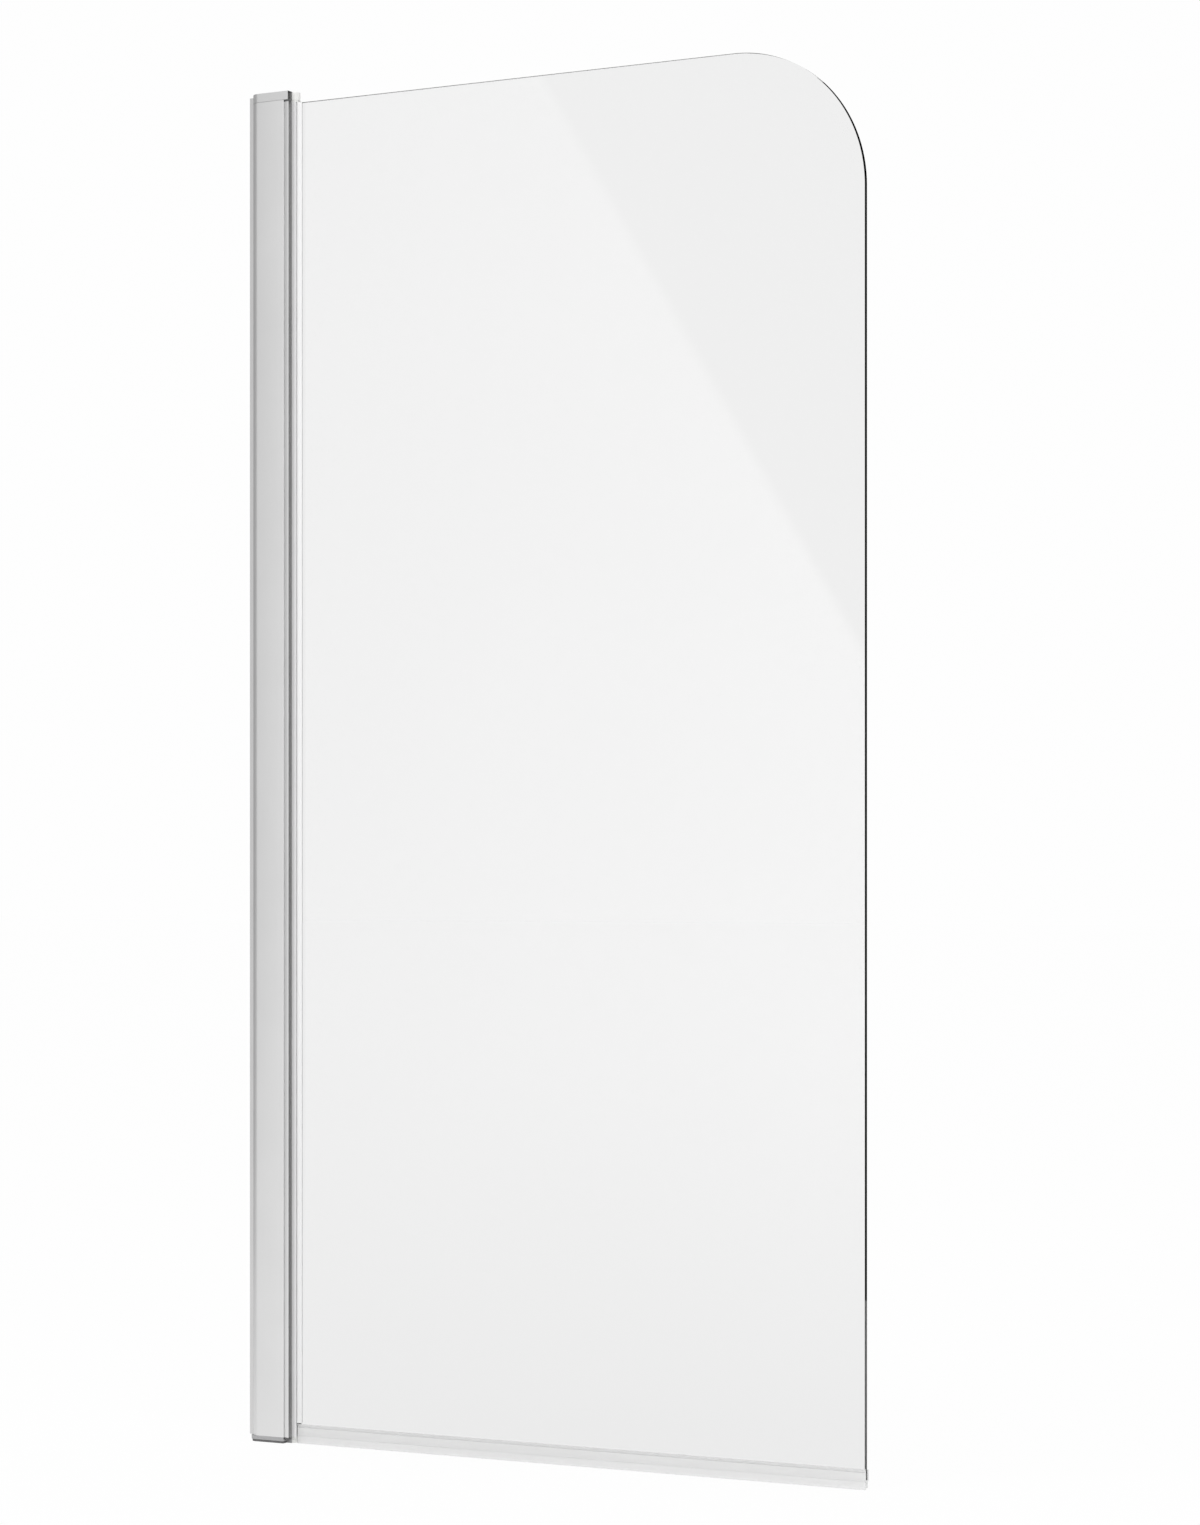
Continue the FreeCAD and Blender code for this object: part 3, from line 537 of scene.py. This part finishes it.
def makeSeal(s):
    outer, low = s["inner"] + s["leg"], levels["glassBottom"] - s["web"]
    grip, lip, foot = levels["sealGrip"], levels["sealTop"], levels["foot"]
    half = [(-outer, low), (-outer, grip), (-s["inner"], grip), (-s["inner"], levels["glassBottom"])]
    trough = eased(half + [(-y, z) for y, z in reversed(half)], s["edge"])
    parts = [bar("sealTrough", [trough], s["start"], s["end"], finishes["sealVinyl"], True)]
    for side, rise in s["lips"].items():
        edge = [(s["inner"], grip), (outer, grip), (outer + s["flare"] * s["lipSpread"], lip + rise),
                (s["inner"] + s["flare"], lip + rise)]
        edge = eased([(y * side, z) for y, z in edge], s["lipEdge"])
        parts.append(bar("sealLip", [edge], s["start"], s["end"], finishes["softVinyl"], True))
    tip = foot + s["bead"]
    finX = -outer - s["finLean"]
    front = [(-outer, low), (finX, tip)] + arc(finX + s["bead"], tip, s["bead"], 180, 400, 14)
    front += [(-outer + s["finWall"], low)]
    parts.append(bar("sealFrontFin", [front], s["start"], s["end"], finishes["sealVinyl"], True))
    rear = s["inner"] * s["backStart"]
    back = [(rear, low), (rear, foot + s["backLift"]), (rear + s["finWall"] * s["backTip"], foot + s["backLift"]),
            (rear + s["finWall"], low)]
    back = eased(back, s["finEdge"])
    parts.append(bar("sealBackFin", [back], s["start"], s["end"], finishes["softVinyl"], True))
    return joinMeshes("bottomSeal", parts)


# Geometry Nodes tree that turns one countersunk screw, cuts its cross recess and sets a copy on
# each point it is given, head up or head down
def screwTree():
    tree = bpy.data.node_groups.new("setScrews", "GeometryNodeTree")
    face = tree.interface
    face.new_socket(name="Places", in_out="INPUT", socket_type="NodeSocketGeometry")
    for name in ("Head Radius", "Base Radius", "Head Height", "Shank Radius", "Length", "Recess Width",
                 "Recess Depth"):
        face.new_socket(name=name, in_out="INPUT", socket_type="NodeSocketFloat")
    face.new_socket(name="Finish", in_out="INPUT", socket_type="NodeSocketMaterial")
    face.new_socket(name="Screws", in_out="OUTPUT", socket_type="NodeSocketGeometry")
    given = addNode(tree, "NodeGroupInput")

    # the head hangs from its point, and the shank starts under the floor of the recess
    headDrop = addNode(tree, "ShaderNodeMath", {"operation": "MULTIPLY"}, {0: (given, "Head Height"), 1: -1.0})
    halfLength = addNode(tree, "ShaderNodeMath", {"operation": "MULTIPLY"}, {0: (given, "Length"), 1: -0.5})
    shankDrop = addNode(tree, "ShaderNodeMath", {"operation": "MULTIPLY_ADD"},
                        {0: (given, "Recess Depth"), 1: -1.5, 2: halfLength})
    head = addNode(tree, "GeometryNodeMeshCone", links={
        "Vertices": 40, "Radius Top": (given, "Head Radius"), "Radius Bottom": (given, "Base Radius"),
        "Depth": (given, "Head Height")})
    head = addNode(tree, "GeometryNodeTransform", links={
        "Geometry": (head, "Mesh"), "Translation": addNode(tree, "ShaderNodeCombineXYZ", links={"Z": headDrop})})
    shank = addNode(tree, "GeometryNodeMeshCylinder", links={
        "Vertices": 32, "Radius": (given, "Shank Radius"), "Depth": (given, "Length")})
    shank = addNode(tree, "GeometryNodeTransform", links={
        "Geometry": (shank, "Mesh"), "Translation": addNode(tree, "ShaderNodeCombineXYZ", links={"Z": shankDrop})})
    # the cross recess: two crossed bars cut out of the head
    span = addNode(tree, "ShaderNodeMath", {"operation": "MULTIPLY"}, {0: (given, "Head Radius"), 1: 1.1})
    deep = addNode(tree, "ShaderNodeMath", {"operation": "MULTIPLY"}, {0: (given, "Recess Depth"), 1: 2.0})
    recess = addNode(tree, "GeometryNodeMeshBoolean", {"operation": "DIFFERENCE", "solver": "EXACT"},
                     {"Mesh 1": head})
    for x, y in ((span, (given, "Recess Width")), ((given, "Recess Width"), span)):
        size = addNode(tree, "ShaderNodeCombineXYZ", links={"X": x, "Y": y, "Z": deep})
        slot = addNode(tree, "GeometryNodeMeshCube", links={"Size": size})
        tree.links.new(slot.outputs["Mesh"], recess.inputs["Mesh 2"])
    screw = addNode(tree, "GeometryNodeJoinGeometry")
    tree.links.new(recess.outputs["Mesh"], screw.inputs[0])
    tree.links.new(shank.outputs[0], screw.inputs[0])
    flat = addNode(tree, "GeometryNodeSetShadeSmooth", links={"Geometry": screw, "Shade Smooth": False})
    turn = addNode(tree, "GeometryNodeInputNamedAttribute", {"data_type": "FLOAT_VECTOR"}, {"Name": "turn"})
    placed = addNode(tree, "GeometryNodeInstanceOnPoints", links={
        "Points": (given, "Places"), "Instance": flat, "Rotation": (turn, "Attribute")})
    real = addNode(tree, "GeometryNodeRealizeInstances", links={"Geometry": placed})
    coated = addNode(tree, "GeometryNodeSetMaterial", links={"Geometry": real, "Material": (given, "Finish")})
    addNode(tree, "NodeGroupOutput", links={"Screws": coated})
    return tree


setScrews = screwTree()


# One set of screws: each place is (x, y, z, tilt) with the tilt about X in degrees
def screwMesh(name, places, sizes, finish):
    points = bpy.data.meshes.new(name + "Places")
    points.from_pydata([(x * mm, y * mm, z * mm) for x, y, z, tilt in places], [], [])
    turn = points.attributes.new("turn", "FLOAT_VECTOR", "POINT")
    for i, place in enumerate(places):
        turn.data[i].vector = (math.radians(place[3]), 0, 0)
    holder = bpy.data.objects.new(name + "Places", points)
    bpy.context.scene.collection.objects.link(holder)
    modifier = holder.modifiers.new("screws", "NODES")
    modifier.node_group = setScrews
    values = {key: value * mm for key, value in sizes.items()}
    setInputs(modifier, dict(values, Finish=finish))
    return bakedMesh(holder, name)


# Two countersunk screws in each cap, two in each plug, and three with low domed heads, broader at the
# base, that clamp the post to the wall channel
capScrew = {"X": 35.6, "Y": 10.0, "Sink": 0.05, "Foot Sink": 2.45, "Head Radius": 3.35, "Base Radius": 1.35,
            "Head Height": 1.9, "Shank Radius": 1.35, "Length": 18.0, "Recess Width": 0.7, "Recess Depth": 0.6}
plugScrew = {"X": 42.57, "Y": 7.7, "Sink": 0.05, "Foot Sink": 1.95, "Head Radius": 2.35, "Base Radius": 1.25,
             "Head Height": 1.9, "Shank Radius": 1.25, "Length": 12.0, "Recess Width": 0.6, "Recess Depth": 0.5}
clampScrew = {"X": 13.5, "Y": -11.68, "Spacing": 420.0, "Head Radius": 2.9, "Base Radius": 3.35,
              "Head Height": 1.75, "Shank Radius": 1.9, "Length": 6.8, "Recess Width": 0.9, "Recess Depth": 0.8}


def endPlaces(s, top, foot):
    # a screw on each side of the glass at both ends, head outwards
    ends = ((top - s["Sink"], 0), (foot, 180))
    return [(s["X"], y, z, tilt) for y in (-s["Y"], s["Y"]) for z, tilt in ends]


capPlaces = endPlaces(capScrew, levels["top"], levels["foot"] + capScrew["Foot Sink"])
plugPlaces = endPlaces(plugScrew, levels["postTop"], levels["postBottom"] - plugScrew["Foot Sink"])
clampPlaces = [(clampScrew["X"], clampScrew["Y"], clampScrew["Spacing"] * step, 90) for step in (-1, 0, 1)]


# Top cap: zinc die casting, wall side rounded as the post is, upper edges softened. Its end is open
# for the upper bush, and its rear half is shorter than its front one by a step
capSizes = dict(wallGap=3.6, half=14.0, round=10.0, front=50.7, back=45.3, step=6.4, socket=5.1, sink=3.45,
                soften=0.4)


def softenEnd(mesh, level, width, holes, steps=3):
    # rounds the outer edges of one end of a bar, and leaves those of its holes sharp
    work = bmesh.new()
    work.from_mesh(mesh)
    bmesh.ops.dissolve_limit(work, angle_limit=0.01, verts=work.verts, edges=work.edges, delimit={"MATERIAL"})

    def onOuterRim(point):
        x, y, z = point / mm
        return abs(z - level) < 0.01 and all(math.hypot(x - hx, y - hy) > r + 0.02 for hx, hy, r in holes)

    rims = [e for e in work.edges if e.calc_face_angle(0) > 1.0 and all(onOuterRim(v.co) for v in e.verts)]
    bmesh.ops.bevel(work, geom=rims, offset=width * mm, segments=steps, affect="EDGES", profile=0.5)
    bmesh.ops.triangulate(work, faces=[f for f in work.faces if len(f.verts) > 4])
    work.to_mesh(mesh)
    work.free()
    return mesh


def makeTopCap(s):
    cx, cy = s["wallGap"] + s["round"], s["half"] - s["round"]
    mouth = math.degrees(math.acos((s["front"] - pivot["x"]) / s["socket"]))
    outline = arc(cx, -cy, s["round"], 180, 270, 16) + [(s["front"], -s["half"])]
    outline += arc(pivot["x"], 0, s["socket"], -mouth, mouth - 360, 30)
    outline += [(s["front"], s["step"]), (s["back"], s["step"]), (s["back"], s["half"])]
    outline += arc(cx, cy, s["round"], 90, 180, 16)
    sinks = [(capScrew["X"], y, s["sink"]) for y in (-capScrew["Y"], capScrew["Y"])]
    loops = [outline] + [arc(x, y, r, 0, 350, 35) for x, y, r in sinks]
    mesh = bar("topCap", loops, levels["postTop"], levels["top"], finishes["castSilver"])
    # painted shade on the cap's end face beside the bush, in the same dark tone as the rail's
    coat(mesh, finishes["paintedShadeAnodised"], lambda c, n: n.x > 0.9 and c.x > s["front"] - 0.1)
    return softenEnd(mesh, levels["top"], s["soften"], sinks + [(pivot["x"], 0, s["socket"])])


def screwSet(name, places, sizes, body, node):
    placePiece(name, screwMesh(name, places, sizes, finishes["steel"]), body, node)


placePiece("coverStrip", makeCover(coverSizes), "hinge_post", "cover_strip")
placePiece("postCasing", makeCasing(casingSizes), "hinge_post", "casing")
placePiece("pivotRail", makeRail(railSizes), "screen", "pivot_rail")
placePiece("glazingGasket", makeGasket(gasketSizes), "screen", "glazing_gasket")
placePiece("glassPanel", makeGlass(glassSizes), "screen", "glass_panel")
placePiece("bottomSeal", makeSeal(sealSizes), "screen", "bottom_seal")
placePiece("topCap", makeTopCap(capSizes), "hinge_post", "top_cap")
print("bars, glass, seal and top cap made")
screwSet("capScrews", capPlaces, capScrew, "hinge_post", "cap_screws")
screwSet("clampScrews", clampPlaces, clampScrew, "hinge_post", "clamp_screws")
screwSet("plugScrews", plugPlaces, plugScrew, "screen", "plug_screws")
print("screws set:", len(capPlaces) + len(clampPlaces) + len(plugPlaces))

# The small castings and mouldings keep their solids and get their finish
smallParts = dict(
    wall_channel="channelPaintedShade", nut_plates="steel", wiper_strips="rubber", bottom_cap="castGrey",
    foot_pad="padRubber",
    top_bearing="acetal", bottom_bearing="acetal", top_plug="darkAbs", bottom_plug="darkAbs",
    top_carrier="acetal", bottom_carrier="acetal")
for nodeName, finish in smallParts.items():
    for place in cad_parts[nodeName].material_slots:
        place.material = finishes[finish]
print("small parts finished:", len(smallParts))


# Studio: a pale floor at the foot of the screen and a white surround. What the glass mirrors from
# inside is the room in front of it: brighter to the right, with a dim sloping edge, and dim low down.
# The room is laid out in metres on the plane of the glass: left and right are (place, brightness)
stageSizes = dict(floorSize=40.0, floorTone="#f4f4f4", glow=0.965, backdrop=0.99, surround=0.74)
roomSizes = dict(eye=(2.2113, 3.3521, -0.1128), slopeStart=(0.3487, 0.6786), slopeEnd=(0.6885, 0.1136), soft=0.006,
                 left=(0.08, 1.3), right=(0.66, 2.33), dim=0.88, near=0.3, fade=3.0, closest=0.05)


def rayKinds(tree):
    # 1 for what the camera sees outright, in gloss or through glass, and 1 for what glass mirrors inside
    rays = addNode(tree, "ShaderNodeLightPath")
    seen = addNode(tree, "ShaderNodeMath", {"operation": "ADD", "use_clamp": True},
                   {0: (rays, "Is Camera Ray"), 1: (rays, "Is Glossy Ray")})
    seen = addNode(tree, "ShaderNodeMath", {"operation": "ADD", "use_clamp": True},
                   {0: seen, 1: (rays, "Is Transmission Ray")})
    inside = addNode(tree, "ShaderNodeMath", {"operation": "MULTIPLY", "use_clamp": True},
                     {0: (rays, "Glossy Depth"), 1: (rays, "Transmission Depth")})
    return seen, inside


def roomWall(tree, room, sideways, ahead):
    # brightness of the mirrored room, by the distance along the glass at which it shows
    slant = addNode(tree, "ShaderNodeMath", {"operation": "DIVIDE"}, {0: sideways, 1: ahead})
    across = addNode(tree, "ShaderNodeMath", {"operation": "MULTIPLY_ADD"},
                     {0: slant, 1: room["eye"][1], 2: room["eye"][0]})
    (x0, low), (x1, high) = room["left"], room["right"]
    wall = addNode(tree, "ShaderNodeMapRange", links={
        "Value": across, "From Min": x0, "From Max": x1, "To Min": low, "To Max": high})
    return across, wall


def mirroredFloor(tree, room):
    # the floor as the glass mirrors it, with painted shade close by the screen that is gone some metres away
    coords = addNode(tree, "ShaderNodeTexCoord")
    place = addNode(tree, "ShaderNodeSeparateXYZ", links={"Vector": (coords, "Object")})
    sideways = addNode(tree, "ShaderNodeMath", {"operation": "SUBTRACT"}, {0: (place, "X"), 1: room["eye"][0]})
    ahead = addNode(tree, "ShaderNodeMath", {"operation": "SUBTRACT"}, {0: room["eye"][1], 1: (place, "Y")})
    ahead = addNode(tree, "ShaderNodeMath", {"operation": "MAXIMUM"}, {0: ahead, 1: room["closest"]})
    wall = roomWall(tree, room, sideways, ahead)[1]
    reach = addNode(tree, "ShaderNodeMath", {"operation": "ADD"}, {0: (place, "Y"), 1: room["near"]})
    reach = addNode(tree, "ShaderNodeMath", {"operation": "DIVIDE"}, {0: reach, 1: room["fade"]})
    fall = addNode(tree, "ShaderNodeMath", {"operation": "EXPONENT"}, {0: reach})
    far = addNode(tree, "ShaderNodeMath", {"operation": "SUBTRACT", "use_clamp": True}, {0: 1.0, 1: fall})
    return addNode(tree, "ShaderNodeMath", {"operation": "MULTIPLY"}, {0: far, 1: wall})


def mirroredRoom(tree, room):
    # each direction is traced back to the point of the glass that mirrors it
    coords = addNode(tree, "ShaderNodeTexCoord")
    way = addNode(tree, "ShaderNodeSeparateXYZ", links={"Vector": (coords, "Generated")})
    ahead = addNode(tree, "ShaderNodeMath", {"operation": "MULTIPLY"}, {0: (way, "Y"), 1: -1.0})
    ahead = addNode(tree, "ShaderNodeMath", {"operation": "MAXIMUM"}, {0: ahead, 1: room["closest"]})
    across, wall = roomWall(tree, room, (way, "X"), ahead)
    rise = addNode(tree, "ShaderNodeMath", {"operation": "DIVIDE"}, {0: (way, "Z"), 1: ahead})
    up = addNode(tree, "ShaderNodeMath", {"operation": "MULTIPLY_ADD"},
                 {0: rise, 1: room["eye"][1], 2: room["eye"][2]})
    # distance past the sloping edge, which is dim on its far side
    (ax, az), (bx, bz) = room["slopeStart"], room["slopeEnd"]
    run = math.hypot(bx - ax, bz - az)
    nx, nz = (az - bz) / run, (bx - ax) / run
    past = addNode(tree, "ShaderNodeMath", {"operation": "MULTIPLY_ADD"},
                   {0: across, 1: nx, 2: -(nx * ax + nz * az)})
    past = addNode(tree, "ShaderNodeMath", {"operation": "MULTIPLY_ADD"}, {0: up, 1: nz, 2: past})
    slope = addNode(tree, "ShaderNodeMapRange", links={
        "Value": past, "From Min": -room["soft"], "From Max": room["soft"], "To Min": wall, "To Max": room["dim"]})
    # behind the glass the surround is even
    front = addNode(tree, "ShaderNodeMath", {"operation": "LESS_THAN"}, {0: (way, "Y"), 1: 0.0})
    return addNode(tree, "ShaderNodeMix", links={mixFactor: front, numberA: 1.0, numberB: slope})


def makeStage(s, room):
    mesh = bpy.data.meshes.new("floor")
    sheet = bmesh.new()
    bmesh.ops.create_grid(sheet, x_segments=1, y_segments=1, size=s["floorSize"])
    bmesh.ops.translate(sheet, verts=sheet.verts, vec=(0, 0, levels["foot"] * mm))
    sheet.to_mesh(mesh)
    sheet.free()
    floor = bpy.data.objects.new("floor", mesh)
    bpy.context.scene.collection.objects.link(floor)
    mat, tree = newMaterial("palePaperFloor")
    seen, inside = rayKinds(tree)
    amount = addNode(tree, "ShaderNodeMath", {"operation": "MULTIPLY"}, {0: seen, 1: s["glow"]})
    low = mirroredFloor(tree, room)
    level = addNode(tree, "ShaderNodeMix", links={mixFactor: inside, numberA: 1.0, numberB: low})
    paper = addNode(tree, "ShaderNodeBsdfDiffuse", links={"Color": srgb(s["floorTone"])})
    glow = addNode(tree, "ShaderNodeEmission", links={"Color": (1, 1, 1, 1), "Strength": level})
    finishMaterial(tree, addNode(tree, "ShaderNodeMixShader", links={0: amount, 1: paper, 2: glow}))
    mesh.materials.append(mat)


def makeSurround(s, room):
    world = bpy.data.worlds.new("studio")
    bpy.context.scene.world = world
    world.use_nodes = True
    tree = world.node_tree
    tree.nodes.clear()
    seen, inside = rayKinds(tree)
    level = addNode(tree, "ShaderNodeMapRange",
                    links={"Value": seen, "To Min": s["surround"], "To Max": s["backdrop"]})
    roomLight = mirroredRoom(tree, room)
    strength = addNode(tree, "ShaderNodeMix", links={mixFactor: inside, numberA: level, numberB: roomLight})
    sky = addNode(tree, "ShaderNodeBackground", links={"Color": (1, 1, 1, 1), "Strength": strength})
    addNode(tree, "ShaderNodeOutputWorld", links={"Surface": sky})


# Cards beside the set: each is seen only in gloss, as a studio flag is
def makeCard(name, corners, tone):
    # a plain upright sheet of one tone
    mesh = bpy.data.meshes.new(name)
    mesh.from_pydata(corners, [], [tuple(range(len(corners)))])
    card = bpy.data.objects.new(name, mesh)
    bpy.context.scene.collection.objects.link(card)
    mat, tree = newMaterial(name + "Card")
    finishMaterial(tree, addNode(tree, "ShaderNodeEmission", links={"Color": srgb(tone), "Strength": 1.0}))
    mesh.materials.append(mat)
    card.visible_camera = False
    card.visible_diffuse = False
    card.visible_transmission = False
    card.visible_shadow = False


def makeLamp(name, place, aim, size, power):
    # lights the set, and isn't seen itself in view, in gloss or through the glass
    data = bpy.data.lights.new(name, "AREA")
    data.shape = "RECTANGLE"
    data.size, data.size_y = size
    data.energy = power
    lamp = bpy.data.objects.new(name, data)
    lamp.location = place
    lamp.rotation_euler = (Vector(aim) - Vector(place)).to_track_quat("-Z", "Y").to_euler()
    lamp.visible_camera = False
    lamp.visible_glossy = False
    lamp.visible_transmission = False
    bpy.context.scene.collection.objects.link(lamp)


makeStage(stageSizes, roomSizes)
makeSurround(stageSizes, roomSizes)
# upright cards, given by two corners in plan (metres); the first is what darkens the ground edge
# of the glass and the rail's end face, the second shades the wall side of the post
flags = dict(
    freeSideFlag=dict(start=(2.6, 0.3), end=(-0.15, 3.0), low=-0.7, high=2.4, tone="#050505"),
    wallSideFlag=dict(start=(-1.2, -1.5), end=(-1.2, 3.2), low=-0.7, high=2.4, tone="#acacac"),
)
for flagName, f in flags.items():
    (ax, ay), (bx, by) = f["start"], f["end"]
    corners = [(ax, ay, f["low"]), (bx, by, f["low"]), (bx, by, f["high"]), (ax, ay, f["high"])]
    makeCard(flagName, corners, f["tone"])
# two softboxes on the visible side, aimed at the middle of the glass: metres and watts
lamps = dict(
    keySoftbox=dict(place=(-1.6, -3.2, 2.6), aim=(0.3, 0, 0), size=(2.4, 2.4), power=50),
    fillSoftbox=dict(place=(3.4, -2.4, 0.9), aim=(0.3, 0, 0), size=(2.0, 2.4), power=50),
)
for lampName, lamp in lamps.items():
    makeLamp(lampName, lamp["place"], lamp["aim"], lamp["size"], lamp["power"])
print("studio set")


def makeCamera(s):
    turn = math.radians(s["azimuth"])
    data = bpy.data.cameras.new("photoCamera")
    data.sensor_fit = "AUTO"
    data.sensor_width = s["sensor"]
    data.lens = s["focal"] * s["sensor"] / s["height"]
    data.shift_y = (s["horizon"] - s["height"] / 2) / s["height"]
    data.clip_end = 100
    camera = bpy.data.objects.new("photoCamera", data)
    camera.location = s["eye"]
    camera.rotation_euler = (math.pi / 2, 0, turn)
    bpy.context.scene.collection.objects.link(camera)
    bpy.context.scene.camera = camera


makeCamera(photo)
bpy.context.scene.view_settings.view_transform = "Standard"
